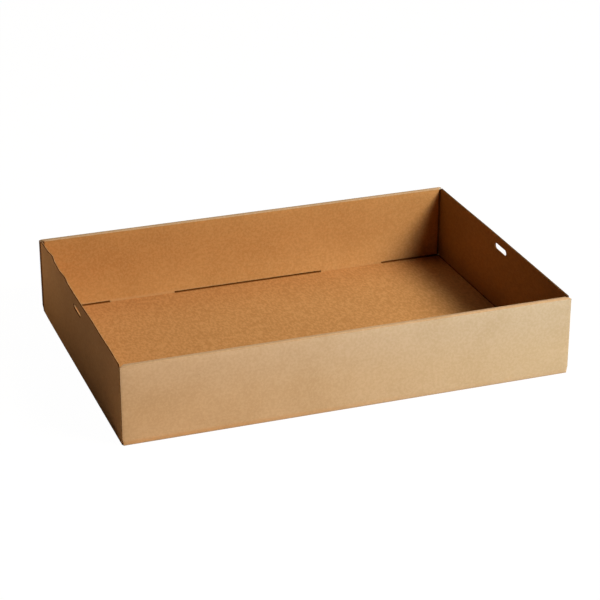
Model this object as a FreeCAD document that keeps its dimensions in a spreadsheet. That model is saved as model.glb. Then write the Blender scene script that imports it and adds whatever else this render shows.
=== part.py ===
import FreeCAD, Part
import os

import Sketcher

# An open tray box, folded and locked from one die-cut sheet of corrugated board.
# X runs along the long walls, Y from the front wall to the back wall and Z up.
# The origin is the middle of the underside, and every size is in millimetres.

# The long walls are rolled over: an outer panel, a flat rim between two creases and an inner
# panel, which locks into the base with two tabs. The end walls are single. Each of them ends
# in two flaps, folded round the corners and held between the layers of the long walls.
DRIVING_SIZES = (
    ("inside_length", 450.0),
    ("inside_width", 310.0),
    ("inside_depth", 80.0),
    ("board", 1.5),
    ("layer_gap", 0.2),
    ("crease_radius", 0.4),
    ("end_wall_drop", 0.3),
    ("panel_overhang", 1.0),
    ("overhang_foot", 16.0),
    ("rim_notch_gap", 0.4),
    ("inner_end_gap", 1.2),
    ("inner_foot_gap", 1.1),
    ("relief_edge", 0.3),
    ("flap_length", 63.0),
    ("flap_foot_gap", 1.0),
    ("flap_head_gap", 0.5),
    ("flap_tip_cut", 8.0),
    ("tab_length", 71.4),
    ("tab_centre", 119.6),
    ("tab_tip_rise", 0.3),
    ("slot_side_gap", 0.25),
    ("slot_end_gap", 0.4),
    ("hole_length", 30.5),
    ("hole_height", 8.0),
    ("hole_drop", 11.6),
    ("ripple_height", 23.0),
    ("ripple_inset", 4.0),
)

# The buckled rim of the left end wall: how far each crest or trough lies from the back of the
# tray, and how far it leans in (a positive lean) or out.
RIPPLE_CRESTS = (
    ("first_trough", 24.0, 0.3),
    ("first_crest", 56.0, 1.9),
    ("second_trough", 85.0, 0.0),
    ("second_crest", 109.0, 1.35),
    ("outward_crest", 160.0, -0.5),
    ("middle", 205.0, 0.0),
    ("far_crest", 255.0, 0.5),
)

# Shares of the ripple's height and of its lean, from its foot to the rim.
RIPPLE_LEVELS = (("foot", 0.0, 0.0), ("waist", 0.5, 0.35), ("rim", 1.0, 1.0))

# Sizes that follow from the driving ones.
DERIVED_SIZES = (
    ("underside", "0"),
    ("half_length", "=inside_length / 2"),
    ("end_face", "=half_length + board"),
    ("end_centre", "=half_length + board / 2"),
    ("half_width", "=inside_width / 2"),
    ("inner_back", "=half_width + board"),
    ("flap_front", "=inner_back + layer_gap"),
    ("flap_back", "=flap_front + board"),
    ("outer_front", "=flap_back + layer_gap"),
    ("outer_face", "=outer_front + board"),
    ("floor", "=board"),
    ("rim", "=inside_depth + board"),
    ("rim_underside", "=rim - board"),
    ("end_rim", "=rim - end_wall_drop"),
    ("above_rim", "=rim + board"),
    ("bend_outside", "=crease_radius + board"),
    ("rim_radius", "=crease_radius + board / 2"),
    ("panel_end", "=end_face + panel_overhang"),
    ("clear_end", "=panel_end + board"),
    ("overhang_start", "=floor + crease_radius"),
    ("inner_end", "=half_length - inner_end_gap"),
    ("inner_foot", "=floor + inner_foot_gap"),
    ("wall_side", "=flap_back - bend_outside"),
    ("notch_side", "=half_width - rim_notch_gap"),
    ("relief_end", "=end_face - bend_outside - relief_edge"),
    ("relief_side", "=outer_face - bend_outside - relief_edge"),
    ("flap_tip", "=end_face - flap_length"),
    ("flap_foot", "=floor + flap_foot_gap"),
    ("flap_head", "=rim_underside - flap_head_gap"),
    ("flap_height", "=flap_head - flap_foot"),
    ("tab_near", "=tab_centre - tab_length / 2"),
    ("tab_far", "=tab_centre + tab_length / 2"),
    ("tab_height", "=inner_foot - tab_tip_rise"),
    ("slot_near", "=tab_near - slot_end_gap"),
    ("slot_far", "=tab_far + slot_end_gap"),
    ("slot_front", "=half_width - slot_side_gap"),
    ("slot_back", "=inner_back + slot_side_gap"),
    ("hole_level", "=rim - hole_drop"),
    ("hole_radius", "=hole_height / 2"),
    ("hole_half", "=hole_length / 2 - hole_radius"),
    ("ripple_foot", "=end_rim - ripple_height"),
    ("ripple_end", "=notch_side - ripple_inset"),
    ("panel_span", "=2 * panel_end"),
    ("ripple_cut", "=3 * board"),
    ("inner_cut", "=rim_underside - floor"),
    ("mitre_cut", "=above_rim - flap_head"),
    ("base_cut", "=2 * board"),
)

TOLERANCE = 0.001


def make_sheet(doc):
    """Writes the driving and the derived sizes into the document's spreadsheet."""
    sheet = doc.addObject("Spreadsheet::Sheet", "Sizes")
    row = 1
    for alias, value in DRIVING_SIZES + DERIVED_SIZES:
        sheet.set(f"A{row}", alias)
        sheet.set(f"B{row}", str(value))
        sheet.setAlias(f"B{row}", alias)
        row += 1
    for name, place, lean in RIPPLE_CRESTS:
        for ending, value in (("_place", place), ("_lean", lean)):
            sheet.set(f"A{row}", name + ending)
            sheet.set(f"B{row}", str(value))
            sheet.setAlias(f"B{row}", name + ending)
            row += 1
    doc.recompute()
    return sheet


def signed(sheet, name):
    """The value of a size, where a leading minus sign puts it on the other side."""
    if name.startswith("-"):
        return -float(sheet.get(name[1:]))
    return float(sheet.get(name))


def binding(name):
    """The expression that ties a sketch's dimension to a size with its sign."""
    if name.startswith("-"):
        return f"-Sizes.{name[1:]}"
    return f"Sizes.{name}"


def new_sketch(body, name, role, offset=None):
    """A sketch on one of the body's origin planes, moved along its normal by a size."""
    sketch = body.newObject("Sketcher::SketchObject", name)
    plane = next(item for item in body.Origin.OriginFeatures if item.Role == role)
    sketch.AttachmentSupport = [(plane, "")]
    sketch.MapMode = "FlatFace"
    if offset is not None:
        sketch.setExpression("AttachmentOffset.Base.z", binding(offset))
    return sketch


def place_point(sketch, sheet, geometry, corner, place):
    """Ties one point of a sketch to its two distances from the origin."""
    kinds = ("DistanceX", "DistanceY")
    for kind, name in zip(kinds, place):
        value = signed(sheet, name)
        index = sketch.addConstraint(Sketcher.Constraint(kind, -1, 1, geometry, corner, value))
        sketch.setExpression(f"Constraints[{index}]", binding(name))


def outline(sketch, sheet, places):
    """Draws a closed outline of straight sides, each corner given by two sizes."""
    points = [FreeCAD.Vector(signed(sheet, a), signed(sheet, b), 0) for a, b in places]
    count = len(points)
    first = sketch.GeometryCount
    for index in range(count):
        sketch.addGeometry(Part.LineSegment(points[index], points[(index + 1) % count]), False)
    for index in range(count):
        following = first + (index + 1) % count
        sketch.addConstraint(Sketcher.Constraint("Coincident", first + index, 2, following, 1))
    for index, place in enumerate(places):
        place_point(sketch, sheet, first + index, 1, place)


def rectangle(sketch, sheet, left, right, low, high):
    """Draws a rectangle between four sizes."""
    outline(sketch, sheet, ((left, low), (right, low), (right, high), (left, high)))


def long_hole(sketch, sheet):
    """Draws the hole of an end wall, a slot with half-round ends."""
    half, level, radius = (signed(sheet, name) for name in ("hole_half", "hole_level", "hole_radius"))
    up = FreeCAD.Vector(0, 0, 1)
    quarter = 1.5707963267948966
    right_end = Part.Circle(FreeCAD.Vector(half, level, 0), up, radius)
    left_end = Part.Circle(FreeCAD.Vector(-half, level, 0), up, radius)
    sketch.addGeometry(Part.ArcOfCircle(right_end, -quarter, quarter), False)
    sketch.addGeometry(Part.ArcOfCircle(left_end, quarter, 3 * quarter), False)
    for side in (1, -1):
        start = FreeCAD.Vector(side * half, level + side * radius, 0)
        finish = FreeCAD.Vector(-side * half, level + side * radius, 0)
        sketch.addGeometry(Part.LineSegment(start, finish), False)
    for one, one_end, other, other_end in ((0, 2, 2, 1), (2, 2, 1, 1), (1, 2, 3, 1), (3, 2, 0, 1)):
        sketch.addConstraint(Sketcher.Constraint("Tangent", one, one_end, other, other_end))
    place_point(sketch, sheet, 0, 3, ("hole_half", "hole_level"))
    place_point(sketch, sheet, 1, 3, ("-hole_half", "hole_level"))
    index = sketch.addConstraint(Sketcher.Constraint("Radius", 0, radius))
    sketch.setExpression(f"Constraints[{index}]", "Sizes.hole_radius")


def settle(feature):
    """Works out a new feature and stops where it has failed."""
    feature.Document.recompute()
    if "Invalid" in feature.State or "Error" in feature.State or feature.Shape.isNull():
        raise RuntimeError(f"{feature.Name} failed: {feature.State}")
    return feature


def pad(body, name, sketch, length, middle=False):
    """Raises a sketch into board, up from its plane or to both sides of it."""
    feature = body.newObject("PartDesign::Pad", name)
    feature.Profile = sketch
    feature.SideType = "Symmetric" if middle else "One side"
    feature.setExpression("Length", binding(length))
    return settle(feature)


def pocket(body, name, sketch, length=None, up=False):
    """Cuts a sketch out of the board, upwards, to both sides, or right through."""
    feature = body.newObject("PartDesign::Pocket", name)
    feature.Profile = sketch
    before = feature.BaseFeature.Shape.Volume
    feature.SideType = "One side" if up else "Symmetric"
    feature.Reversed = up
    if length is None:
        feature.Type = "ThroughAll"
    else:
        feature.setExpression("Length", binding(length))
    if settle(feature).Shape.Volume >= before - TOLERANCE:
        raise RuntimeError(f"{name} cuts nothing")
    return feature


def edges_along(shape, axis, places, shortest):
    """Names the straight edges along an axis whose other two coordinates, unsigned, match a place."""
    others = [index for index in range(3) if index != axis]
    names = []
    for number, edge in enumerate(shape.Edges, start=1):
        ends = [vertex.Point for vertex in edge.Vertexes]
        if len(ends) != 2 or edge.Curve.TypeId != "Part::GeomLine" or edge.Length < shortest:
            continue
        if any(abs(ends[0][index] - ends[1][index]) > TOLERANCE for index in others):
            continue
        here = [abs(ends[0][index]) for index in others]
        if any(all(abs(a - b) < TOLERANCE for a, b in zip(here, place)) for place in places):
            names.append(f"Edge{number}")
    return names


def dress(body, kind, name, sheet, axis, places, size_property, size_name):
    """Rounds or cuts the edges along one axis that lie at the named places."""
    base = body.Tip
    wanted = [tuple(signed(sheet, part) for part in place) for place in places]
    feature = body.newObject(kind, name)
    feature.Base = (base, edges_along(base.Shape, axis, wanted, signed(sheet, "board") / 2))
    feature.setExpression(size_property, binding(size_name))
    return settle(feature)


def fillet(body, name, sheet, axis, places, radius):
    """Rounds a fold or a cut edge."""
    return dress(body, "PartDesign::Fillet", name, sheet, axis, places, "Radius", radius)


def add_base_and_long_walls(body, sheet):
    """The base with both long walls rolled over, as one section along X."""
    section = new_sketch(body, "wrap_section", "YZ_Plane")
    right_half = (
        ("outer_face", "underside"),
        ("outer_face", "rim"),
        ("half_width", "rim"),
        ("half_width", "inner_foot"),
        ("inner_back", "inner_foot"),
        ("inner_back", "rim_underside"),
        ("outer_front", "rim_underside"),
        ("outer_front", "floor"),
    )
    left_half = tuple(("-" + across, level) for across, level in reversed(right_half))
    outline(section, sheet, right_half + left_half)
    pad(body, "base_and_long_walls", section, "panel_span", middle=True)
    fillet(body, "long_folds_outside", sheet, 0, (("outer_face", "underside"),), "bend_outside")
    fillet(body, "long_folds_inside", sheet, 0, (("outer_front", "floor"),), "crease_radius")
    rim_corners = (("outer_face", "rim"), ("half_width", "rim"))
    fillet(body, "rim_folds_outside", sheet, 0, rim_corners, "rim_radius")
    rim_insides = (("outer_front", "rim_underside"), ("inner_back", "rim_underside"))
    fillet(body, "rim_folds_inside", sheet, 0, rim_insides, "crease_radius")


def trim_long_wall_ends(body, sheet):
    """Slopes the outer panels' feet, shortens the inner panels and mitres the rims."""
    slope = new_sketch(body, "overhang_outline", "XZ_Plane")
    for sign in ("", "-"):
        outline(slope, sheet, (
            (sign + "end_face", "-board"),
            (sign + "end_face", "overhang_start"),
            (sign + "panel_end", "overhang_foot"),
            (sign + "clear_end", "overhang_foot"),
            (sign + "clear_end", "-board"),
        ))
    pocket(body, "overhang_slopes", slope)

    inner = new_sketch(body, "inner_end_outline", "XY_Plane", "floor")
    for sign in ("", "-"):
        ends = sorted((sign + "inner_end", sign + "clear_end"), key=lambda name: signed(sheet, name))
        rectangle(inner, sheet, ends[0], ends[1], "-flap_front", "flap_front")
    pocket(body, "inner_panel_ends", inner, "inner_cut", up=True)

    mitre = new_sketch(body, "rim_mitre_outline", "XY_Plane", "flap_head")
    for along in ("", "-"):
        for across in ("", "-"):
            outline(mitre, sheet, (
                (along + "inner_end", across + "half_width"),
                (along + "panel_end", across + "outer_face"),
                (along + "clear_end", across + "outer_face"),
                (along + "clear_end", across + "notch_side"),
                (along + "inner_end", across + "notch_side"),
            ))
    pocket(body, "rim_mitres", mitre, "mitre_cut", up=True)

    relief = new_sketch(body, "relief_outline", "XY_Plane", "-board")
    for along in ("", "-"):
        for across in ("", "-"):
            outline(relief, sheet, (
                (along + "relief_end", across + "wall_side"),
                (along + "panel_end", across + "wall_side"),
                (along + "panel_end", across + "relief_side"),
                (along + "relief_end", across + "relief_side"),
            ))
    pocket(body, "corner_reliefs", relief, "base_cut", up=True)


def add_end_walls(body, sheet):
    """The two end walls with the flaps that fold round the corners."""
    for side, sign in (("right", ""), ("left", "-")):
        wall = new_sketch(body, f"{side}_wall_outline", "YZ_Plane", sign + "end_centre")
        outline(wall, sheet, (
            ("-wall_side", "underside"),
            ("wall_side", "underside"),
            ("wall_side", "flap_head"),
            ("notch_side", "flap_head"),
            ("notch_side", "end_rim"),
            ("-notch_side", "end_rim"),
            ("-notch_side", "flap_head"),
            ("-wall_side", "flap_head"),
        ))
        pad(body, f"{side}_end_wall", wall, "board", middle=True)

    flaps = new_sketch(body, "flap_section", "XY_Plane", "flap_foot")
    for along in ("", "-"):
        for across in ("", "-"):
            outline(flaps, sheet, (
                (along + "half_length", across + "wall_side"),
                (along + "end_face", across + "wall_side"),
                (along + "end_face", across + "flap_back"),
                (along + "flap_tip", across + "flap_back"),
                (along + "flap_tip", across + "flap_front"),
                (along + "half_length", across + "flap_front"),
            ))
    pad(body, "corner_flaps", flaps, "flap_height")
    fillet(body, "end_folds_outside", sheet, 1, (("end_face", "underside"),), "bend_outside")
    fillet(body, "end_folds_inside", sheet, 1, (("half_length", "floor"),), "crease_radius")
    fillet(body, "corner_folds_outside", sheet, 2, (("end_face", "flap_back"),), "bend_outside")
    fillet(body, "corner_folds_inside", sheet, 2, (("half_length", "flap_front"),), "crease_radius")
    tips = (("flap_tip", "flap_foot"), ("flap_tip", "flap_head"))
    dress(body, "PartDesign::Chamfer", "flap_tips", sheet, 1, tips, "Size", "flap_tip_cut")


def add_locks(body, sheet):
    """The slots in the base's folds and the tabs of the inner panels that stand in them."""
    slots = new_sketch(body, "slot_outline", "XY_Plane", "-board")
    for along in ("", "-"):
        for across in ("", "-"):
            outline(slots, sheet, (
                (along + "slot_near", across + "slot_front"),
                (along + "slot_far", across + "slot_front"),
                (along + "slot_far", across + "slot_back"),
                (along + "slot_near", across + "slot_back"),
            ))
    pocket(body, "lock_slots", slots, "base_cut", up=True)

    tabs = new_sketch(body, "tab_section", "XY_Plane", "tab_tip_rise")
    for along in ("", "-"):
        for across in ("", "-"):
            outline(tabs, sheet, (
                (along + "tab_near", across + "half_width"),
                (along + "tab_far", across + "half_width"),
                (along + "tab_far", across + "inner_back"),
                (along + "tab_near", across + "inner_back"),
            ))
    pad(body, "lock_tabs", tabs, "tab_height")


def ripple_section(body, sheet, level, height_share, lean_share):
    """One level section of the buckled strip: two wavy faces one board apart."""
    sketch = body.newObject("Sketcher::SketchObject", f"ripple_{level}")
    plane = next(item for item in body.Origin.OriginFeatures if item.Role == "XY_Plane")
    sketch.AttachmentSupport = [(plane, "")]
    sketch.MapMode = "FlatFace"
    rise = f"Sizes.ripple_foot + {height_share} * Sizes.ripple_height"
    sketch.setExpression("AttachmentOffset.Base.z", rise)
    end = signed(sheet, "ripple_end")
    back = signed(sheet, "outer_face")
    crests = [(end, 0.0)]
    for name, _, _ in RIPPLE_CRESTS:
        crests.append((back - signed(sheet, name + "_place"), signed(sheet, name + "_lean")))
    crests.append((-end, 0.0))
    straight = FreeCAD.Vector(0, -1, 0)
    for face in ("-end_face", "-half_length"):
        points = [FreeCAD.Vector(signed(sheet, face) + lean * lean_share, y, 0) for y, lean in crests]
        curve = Part.BSplineCurve()
        curve.interpolate(Points=points, InitialTangent=straight, FinalTangent=straight)
        sketch.addGeometry(curve, False)
    for y in (end, -end):
        outer = FreeCAD.Vector(signed(sheet, "-end_face"), y, 0)
        inner = FreeCAD.Vector(signed(sheet, "-half_length"), y, 0)
        sketch.addGeometry(Part.LineSegment(outer, inner), False)
    for one, one_end, other, other_end in ((0, 1, 2, 1), (1, 1, 2, 2), (0, 2, 3, 1), (1, 2, 3, 2)):
        sketch.addConstraint(Sketcher.Constraint("Coincident", one, one_end, other, other_end))
    for index in range(4):
        sketch.addConstraint(Sketcher.Constraint("Block", index))
    return sketch


def buckle_left_rim(body, sheet):
    """Replaces the upper strip of the left end wall by one that waves in and out at the rim."""
    strip = new_sketch(body, "ripple_strip_outline", "YZ_Plane", "-end_centre")
    rectangle(strip, sheet, "-ripple_end", "ripple_end", "ripple_foot", "above_rim")
    pocket(body, "ripple_strip", strip, "ripple_cut")
    sections = [ripple_section(body, sheet, *level) for level in RIPPLE_LEVELS]
    body.Document.recompute()
    loft = body.newObject("PartDesign::AdditiveLoft", "buckled_rim")
    loft.Profile = sections[0]
    loft.Sections = sections[1:]
    loft.Ruled = False
    loft.Closed = False
    settle(loft)


def cut_end_holes(body, sheet):
    """The long hole high in the middle of each end wall."""
    hole = new_sketch(body, "end_hole_outline", "YZ_Plane")
    long_hole(hole, sheet)
    pocket(body, "end_holes", hole)


def make_tray(doc, sheet):
    """The whole tray, one sheet of board in one solid."""
    body = doc.addObject("PartDesign::Body", "folded_tray")
    body.Label = "folded_tray"
    add_base_and_long_walls(body, sheet)
    trim_long_wall_ends(body, sheet)
    add_end_walls(body, sheet)
    add_locks(body, sheet)
    buckle_left_rim(body, sheet)
    cut_end_holes(body, sheet)
    body.Placement = FreeCAD.Placement(FreeCAD.Vector(0, 0, 0), FreeCAD.Rotation())
    return body


def check_document(doc, parts):
    """Stops where a feature has failed or a piece isn't one valid solid."""
    for item in doc.Objects:
        if "Invalid" in item.State or "Error" in item.State:
            raise RuntimeError(f"{item.Name} failed: {item.State}")
    for part in parts:
        if part.Shape.isNull() or not part.Shape.isValid() or len(part.Shape.Solids) != 1:
            raise RuntimeError(f"{part.Label} is not one valid solid")


def main():
    """Builds the document and writes one file for each piece."""
    doc = FreeCAD.newDocument("tray_box")
    sheet = make_sheet(doc)
    parts = [make_tray(doc, sheet)]
    doc.recompute()
    check_document(doc, parts)
    os.makedirs("parts", exist_ok=True)
    for part in parts:
        part.Shape.exportStep(f"parts/{part.Label}.step")
        box = part.Shape.BoundBox
        print(part.Label, f"{part.Shape.Volume:.1f} mm3", box)


main()
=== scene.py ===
import logging
import math
from dataclasses import dataclass
from enum import Enum
from typing import Callable, Iterable, Sequence

import bmesh
import bpy
from mathutils import Matrix, Vector, noise


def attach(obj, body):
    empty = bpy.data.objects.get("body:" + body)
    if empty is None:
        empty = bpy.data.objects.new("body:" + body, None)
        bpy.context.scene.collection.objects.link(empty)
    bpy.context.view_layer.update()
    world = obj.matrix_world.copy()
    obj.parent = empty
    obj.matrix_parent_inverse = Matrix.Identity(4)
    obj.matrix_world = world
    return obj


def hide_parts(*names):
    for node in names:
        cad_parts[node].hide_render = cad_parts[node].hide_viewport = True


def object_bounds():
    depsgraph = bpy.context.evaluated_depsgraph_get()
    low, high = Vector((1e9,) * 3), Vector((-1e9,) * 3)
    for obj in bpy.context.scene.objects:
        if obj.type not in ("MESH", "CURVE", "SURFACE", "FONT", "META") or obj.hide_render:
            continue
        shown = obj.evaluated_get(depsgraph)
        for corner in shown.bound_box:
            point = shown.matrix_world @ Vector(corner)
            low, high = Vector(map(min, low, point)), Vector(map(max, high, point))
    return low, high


# An open tray box, folded and locked from one die-cut sheet of corrugated board.
# X runs along the long walls, Y from the front wall to the back wall and Z up, in metres.

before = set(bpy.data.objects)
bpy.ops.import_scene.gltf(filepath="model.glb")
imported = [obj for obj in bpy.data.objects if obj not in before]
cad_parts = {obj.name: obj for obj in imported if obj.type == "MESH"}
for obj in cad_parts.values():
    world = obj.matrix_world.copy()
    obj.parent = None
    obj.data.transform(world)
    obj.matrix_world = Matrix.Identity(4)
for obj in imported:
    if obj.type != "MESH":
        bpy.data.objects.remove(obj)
CAD_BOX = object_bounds()

LOG = logging.getLogger("tray_box")
MM = 0.001
NODE = "folded_tray"
QUARTER_TURN = math.pi / 2
SHARP_ANGLE = math.radians(40)

# Places that are closer than this count as one place.
TOUCH = 0.01 * MM

# The wave between the two papers of the board, and how many points draw one wave of it.
FLUTE_PITCH = 3.3 * MM
FLUTE_POINTS = 10

# Colours are linear red, green and blue.
Colour = tuple[float, float, float]
Triple = tuple[float, float, float]
Socket = bpy.types.NodeSocket
Row = list[bmesh.types.BMEdge]
WHITE = (1.0, 1.0, 1.0)


class Side(Enum):
    """Which of two opposite walls a piece is, as the sign of its axis."""

    NEAR = -1
    FAR = 1


class Paper(Enum):
    """The finishes of one wall, in the order of its material slots."""

    OUTSIDE = 0
    INSIDE = 1
    CUT_EDGE = 2
    INNER_CUT = 3
    # The rim folds of the long walls, and painted shade in the folds and gaps of the end walls and the base.
    CREASE_AND_SHADE = 4
    FLUTING = 5


class Axis(Enum):
    """An axis of the tray, as the name of its coordinate."""

    LENGTH = "X"
    DEPTH = "Y"
    HEIGHT = "Z"


class Mixing(Enum):
    """How one colour is laid over another."""

    COVER = "MIX"
    TINT = "MULTIPLY"


class Arithmetic(Enum):
    """What a Math node works out."""

    PRODUCT = "MULTIPLY"
    SUM = "ADD"
    DIFFERENCE = "SUBTRACT"
    POWER = "POWER"
    SINE = "SINE"


@dataclass(frozen=True)
class Tray:
    """Sizes of the folded board, in metres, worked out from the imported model's box."""

    panel_end: float
    outer_face: float
    rim: float
    board: float = 1.5 * MM
    layer_gap: float = 0.2 * MM
    crease: float = 0.4 * MM
    liner: float = 0.26 * MM
    end_inner_liner: float = 0.45 * MM
    medium: float = 0.16 * MM
    fluting_setback: float = 0.15 * MM
    fluting_depth: float = 7.0 * MM
    overhang: float = 1.0 * MM
    overhang_foot: float = 7.0 * MM
    end_wall_drop: float = 0.3 * MM
    notch_gap: float = 0.4 * MM
    inner_end_gap: float = 2.3 * MM
    inner_foot_gap: float = 1.5 * MM
    slit_shade: float = 1.3 * MM
    crushed_fold: float = 0.8 * MM
    crushed_end: float = 2.4 * MM
    end_crush: float = 0.35 * MM
    rim_end_crush: float = 0.8 * MM
    trimmed_end: float = 8.0 * MM
    flap_length: float = 63.0 * MM
    flap_foot_gap: float = 0.5 * MM
    flap_head_gap: float = 0.5 * MM
    flap_tip_cut: float = 8.0 * MM
    tab_length: float = 71.4 * MM
    tab_centre: float = 119.6 * MM
    tab_tip_rise: float = 0.3 * MM
    slot_side_gap: float = 0.25 * MM
    slot_end_gap: float = 0.4 * MM
    hole_length: float = 28.4 * MM
    hole_height: float = 7.4 * MM
    hole_drop: float = 12.0 * MM
    hole_slant: float = 0.6 * MM
    ripple_height: float = 23.0 * MM

    @classmethod
    def from_box(cls, low: Sequence[float], high: Sequence[float]) -> "Tray":
        """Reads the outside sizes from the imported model's box.

        Args:
            low: the box's lowest corner.
            high: its highest corner.

        Returns:
            The tray's sizes.
        """
        return cls(
            panel_end=(high[0] - low[0]) / 2,
            outer_face=(high[1] - low[1]) / 2,
            rim=high[2] - low[2],
        )

    @property
    def end_face(self) -> float:
        """Outer face of an end wall."""
        return self.panel_end - self.overhang

    @property
    def half_length(self) -> float:
        """Inner face of an end wall."""
        return self.end_face - self.board

    @property
    def outer_front(self) -> float:
        """Inner face of an outer panel."""
        return self.outer_face - self.board

    @property
    def flap_back(self) -> float:
        """Outer face of a corner flap."""
        return self.outer_front - self.layer_gap

    @property
    def flap_front(self) -> float:
        """Inner face of a corner flap."""
        return self.flap_back - self.board

    @property
    def inner_back(self) -> float:
        """Hidden face of an inner panel."""
        return self.flap_front - self.layer_gap

    @property
    def half_width(self) -> float:
        """Visible face of an inner panel."""
        return self.inner_back - self.board

    @property
    def bend_outside(self) -> float:
        """Radius outside a square fold."""
        return self.crease + self.board

    @property
    def rim_radius(self) -> float:
        """Radius outside the crushed folds of a rolled rim."""
        return self.crease + self.board / 2

    @property
    def wall_side(self) -> float:
        """Where an end wall's flat part ends and its corner fold starts."""
        return self.flap_back - self.bend_outside

    @property
    def notch_side(self) -> float:
        """Where an end wall's top edge steps down under the rolled rim."""
        return self.half_width - self.notch_gap

    @property
    def end_rim(self) -> float:
        """Top edge of an end wall."""
        return self.rim - self.end_wall_drop

    @property
    def inner_foot(self) -> float:
        """Bottom edge of an inner panel between its tabs."""
        return self.board + self.inner_foot_gap

    @property
    def inner_end(self) -> float:
        """End of an inner panel."""
        return self.half_length - self.inner_end_gap

    @property
    def flap_foot(self) -> float:
        """Bottom edge of a corner flap."""
        return self.board + self.flap_foot_gap

    @property
    def flap_head(self) -> float:
        """Top edge of a corner flap."""
        return self.rim - self.board - self.flap_head_gap

    @property
    def flap_tip(self) -> float:
        """Leading edge of a corner flap."""
        return self.end_face - self.flap_length

    @property
    def tab_ends(self) -> tuple[float, float]:
        """Near and far end of a tab."""
        half = self.tab_length / 2
        return self.tab_centre - half, self.tab_centre + half

    @property
    def slot_ends(self) -> tuple[float, float]:
        """Near and far end of a tab's slot."""
        near, far = self.tab_ends
        return near - self.slot_end_gap, far + self.slot_end_gap

    @property
    def slot_sides(self) -> tuple[float, float]:
        """Inner and outer side of a tab's slot."""
        return self.half_width - self.slot_side_gap, self.inner_back + self.slot_side_gap

    @property
    def hole_level(self) -> float:
        """Height of the middle of a hand hole."""
        return self.rim - self.hole_drop

    @property
    def hole_radius(self) -> float:
        """Radius of a hand hole's round ends."""
        return self.hole_height / 2

    @property
    def hole_half(self) -> float:
        """Half of a hand hole's straight part."""
        return self.hole_length / 2 - self.hole_radius

    def hole_rise(self, y: float) -> float:
        """Half of the hand hole's height at a distance from its middle.

        Args:
            y: distance along the end wall.

        Returns:
            The half height, nothing past the hole's ends.
        """
        past = abs(y) - self.hole_half
        if past <= 0:
            return self.hole_radius
        return math.sqrt(max(self.hole_radius ** 2 - past ** 2, 0.0))

    def panel_end_at(self, y: float, z: float) -> float:
        """Half length of a rolled wall at one place of its section.

        Args:
            y: distance from the middle of the tray.
            z: height.

        Returns:
            The distance of the cut end from the middle of the tray.
        """
        if y > self.outer_front - self.board / 2 and z < self.rim - self.rim_radius:
            rise = (z - self.bend_outside) / (self.overhang_foot - self.bend_outside)
            return self.end_face + self.overhang * min(max(rise, 0.0), 1.0)
        if y < self.inner_back + self.layer_gap and z < self.rim - self.rim_radius:
            return self.inner_end
        share = (y - self.half_width) / (self.outer_face - self.half_width)
        return self.inner_end + (self.panel_end - self.inner_end) * share


@dataclass(frozen=True)
class Curve:
    """A smooth curve through stops, each a place and the value there, level at both ends."""

    stops: tuple[tuple[float, float], ...]

    @classmethod
    def in_mm(cls, *stops: tuple[float, float]) -> "Curve":
        """Makes a curve of stops that are given in millimetres.

        Args:
            stops: the places and values.

        Returns:
            The curve, in metres.
        """
        return cls(tuple((place * MM, value * MM) for place, value in stops))

    def at(self, place: float) -> float:
        """The curve's value at a place.

        Args:
            place: where, in the unit of the stops.

        Returns:
            The value, which stays the same before the first and after the last stop.
        """
        stops = self.stops
        if place <= stops[0][0]:
            return stops[0][1]
        if place >= stops[-1][0]:
            return stops[-1][1]
        slopes = [0.0]
        for before, after in zip(stops, stops[2:]):
            slopes.append((after[1] - before[1]) / (after[0] - before[0]))
        slopes.append(0.0)
        index = next(number for number, stop in enumerate(stops[1:]) if place <= stop[0])
        start, finish = stops[index], stops[index + 1]
        span = finish[0] - start[0]
        t = (place - start[0]) / span
        rise = start[1] * (2 * t ** 3 - 3 * t ** 2 + 1) + finish[1] * (3 * t ** 2 - 2 * t ** 3)
        bend = slopes[index] * (t ** 3 - 2 * t ** 2 + t) + slopes[index + 1] * (t ** 3 - t ** 2)
        return rise + span * bend


# Each stop is a distance along the end wall and how far the wall stands out there.
LEFT_BOW = Curve.in_mm((-157.0, 0.9), (-60.0, 0.9), (60.0, 0.8), (135.0, 0.6), (157.0, 0.3))
RIGHT_BOW = Curve.in_mm((-157.0, 0.7), (-100.0, 0.85), (-10.0, 0.92), (37.0, 0.9), (86.0, 0.4), (136.0, 0.05))

# Each stop is a distance from the back of the tray and how far the left wall's top edge leans in.
RIM_WAVE = Curve.in_mm(
    (9.0, 0.0), (22.0, 0.15), (36.0, 0.75), (47.0, 1.95), (60.0, 0.7), (72.0, 0.2), (87.0, -0.1),
    (97.0, 0.6), (105.0, 1.1), (116.0, 0.2), (150.0, -0.1), (185.0, 0.1), (212.0, 0.55), (245.0, 0.25),
    (285.0, 0.4), (311.0, 0.0),
)


@dataclass(frozen=True)
class Fade:
    """A share that changes smoothly along one axis, from its first value to its last."""

    axis: Axis
    start: float
    stop: float
    first: float = 0.0
    last: float = 1.0


@dataclass(frozen=True)
class Wash:
    """A slow change of a paper's tone that paints light and shade: the share of each colour, and where it
    takes hold.
    """

    tint: Colour
    fade: Fade


# Where a long wall's foot takes its band of painted light, and where its bottom fold takes its painted
# reflection of the floor.
FOOT_RISE = Fade(Axis.HEIGHT, 6.0 * MM, 2.5 * MM, 0.0, 0.6)
FOOT_REACH = Fade(Axis.LENGTH, 0.1, -0.2, 0.15, 1.0)
FLOOR_REFLECTION_RISE = Fade(Axis.HEIGHT, 1.5 * MM, 0.7 * MM, 0.0, 0.85)

# The tones of the paper's deep and pale fibres and of its flecks, as shares of another tone.
DEEP_SHARE = (0.86, 0.82, 0.74)
PALE_SHARE = (1.12, 1.17, 1.28)
FLECK_SHARE = (0.55, 0.5, 0.45)


def shade(colour: Colour, red: float, green: float, blue: float) -> Colour:
    """Changes a colour by a share for each of its parts.

    Args:
        colour: the colour.
        red: the share of its red.
        green: the share of its green.
        blue: the share of its blue.

    Returns:
        The changed colour.
    """
    return colour[0] * red, colour[1] * green, colour[2] * blue


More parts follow.
